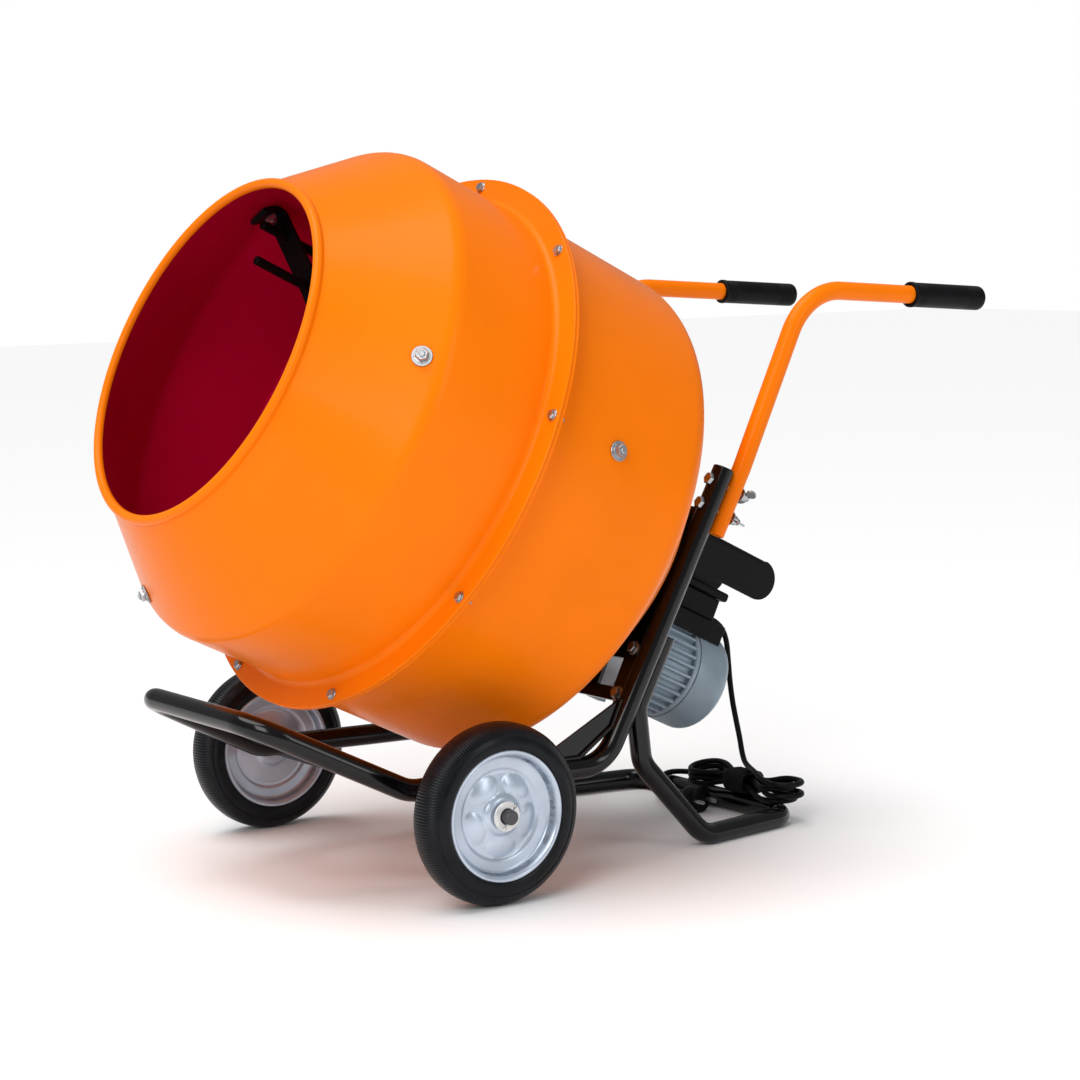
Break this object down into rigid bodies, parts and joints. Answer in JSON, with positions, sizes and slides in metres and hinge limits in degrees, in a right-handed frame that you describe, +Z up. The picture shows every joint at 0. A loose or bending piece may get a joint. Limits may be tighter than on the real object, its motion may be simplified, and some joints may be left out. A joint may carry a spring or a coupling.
{
  "type": "concrete mixer",
  "caption": "Portable electric concrete mixer: tilted two-part orange drum with blades, geared motor, black tube barrow frame with wheels and handles, tied mains cord.",
  "frame": {"origin": "on the floor, under the middle of the machine's box", "axes": "+Z up, the drum's mouth faces -Y, the handles point to +Y, the wheel axle lies along X"},
  "size_m": [0.652, 1.0859, 0.8151],
  "materials": {
    "orange_paint": "gloss orange enamel",
    "black_paint": "gloss black powder coat",
    "drum_seal": "matt black sealing strip",
    "tyre": "semi-matt black tyre rubber",
    "rim_silver": "silver enamel",
    "grip": "smooth black grip",
    "gear_case": "silver painted casting",
    "motor_grey": "blue grey enamel on ribbed casting",
    "zinc": "bright zinc plated steel",
    "steel": "plain machined steel",
    "winding": "varnished copper windings and laminations",
    "fan_plastic": "black moulded plastic",
    "box_plastic": "fine textured black plastic",
    "cord_rubber": "semi-matt black cord sheath",
    "start_green": "green moulded plastic",
    "stop_red": "red moulded plastic"
  },
  "bodies": {
    "machine": {"main_frame": "black_paint", "rear_stand": "black_paint", "gusset_left": "black_paint", "gusset_right": "black_paint", "axle": "zinc", "cotter_pin_left": "steel", "cotter_pin_right": "steel", "axle_washer_left": "zinc", "axle_washer_right": "zinc", "handle_left": "orange_paint", "handle_right": "orange_paint", "grip_left": "grip", "grip_right": "grip", "handle_bolt_left_upper": "zinc", "handle_bolt_left_lower": "zinc", "handle_bolt_right_upper": "zinc", "handle_bolt_right_lower": "zinc", "mounting_plate": "black_paint", "gearbox_housing": "gear_case", "gearbox_cover": "gear_case", "output_bearing": "steel", "stator_core": "winding", "stator_housing": "motor_grey", "motor_flange": "motor_grey", "motor_end_plate": "motor_grey", "fan_cover": "motor_grey", "switch_base": "box_plastic", "switch_box": "box_plastic", "switch_lid": "box_plastic", "run_capacitor": "box_plastic", "motor_hood": "black_paint", "strain_relief": "cord_rubber", "power_cord": "cord_rubber", "cord_hank": "cord_rubber", "cord_tail": "cord_rubber", "cord_tie": "cord_rubber", "mains_plug": "cord_rubber"},
    "drum": {"drum_front": "orange_paint", "drum_rear": "orange_paint", "drum_seal": "drum_seal", "flange_bolts": "zinc", "mixing_blade_1": "black_paint", "mixing_blade_2": "black_paint", "mixing_blade_3": "black_paint", "drum_hub": "steel", "hub_bolts": "zinc", "output_shaft": "steel", "output_gear": "steel"},
    "counter": {"countershaft": "steel", "countershaft_gear": "steel"},
    "rotor": {"motor_shaft": "steel", "rotor_core": "steel", "cooling_fan": "fan_plastic"},
    "wheel_left": {"tyre_left": "tyre", "rim_left": "rim_silver"},
    "wheel_right": {"tyre_right": "tyre", "rim_right": "rim_silver"},
    "start_push": {"start_button": "start_green"},
    "stop_push": {"stop_button": "stop_red"}
  },
  "joints": [
    {"name": "drum_spin", "type": "hinge", "parent": "machine", "child": "drum", "pos_m": [0, -0.18305, 0.47239], "axis": [0, -0.8975, 0.441], "continuous": true},
    {"name": "countershaft_spin", "type": "hinge", "parent": "machine", "child": "counter", "pos_m": [0.03894, 0.07881, 0.27563], "axis": [0, -0.8975, 0.441], "continuous": true},
    {"name": "rotor_spin", "type": "hinge", "parent": "machine", "child": "rotor", "pos_m": [0, 0.1325, 0.20757], "axis": [0, -0.8975, 0.441], "continuous": true},
    {"name": "wheel_left_spin", "type": "hinge", "parent": "machine", "child": "wheel_left", "pos_m": [-0.2495, -0.2447, 0.101], "axis": [1, 0, 0], "continuous": true},
    {"name": "wheel_right_spin", "type": "hinge", "parent": "machine", "child": "wheel_right", "pos_m": [0.2495, -0.2447, 0.101], "axis": [1, 0, 0], "continuous": true},
    {"name": "start_press", "type": "slide", "parent": "machine", "child": "start_push", "axis": [0, -0.8975, 0.441], "range_m": [0, 0.003], "stiffness_N_per_m": 400},
    {"name": "stop_press", "type": "slide", "parent": "machine", "child": "stop_push", "axis": [0, -0.8975, 0.441], "range_m": [0, 0.003], "stiffness_N_per_m": 400}
  ],
  "couplings": [
    {"joint": "countershaft_spin", "follows": "drum_spin", "ratio": -6.6667},
    {"joint": "rotor_spin", "follows": "drum_spin", "ratio": 43.333}
  ]
}
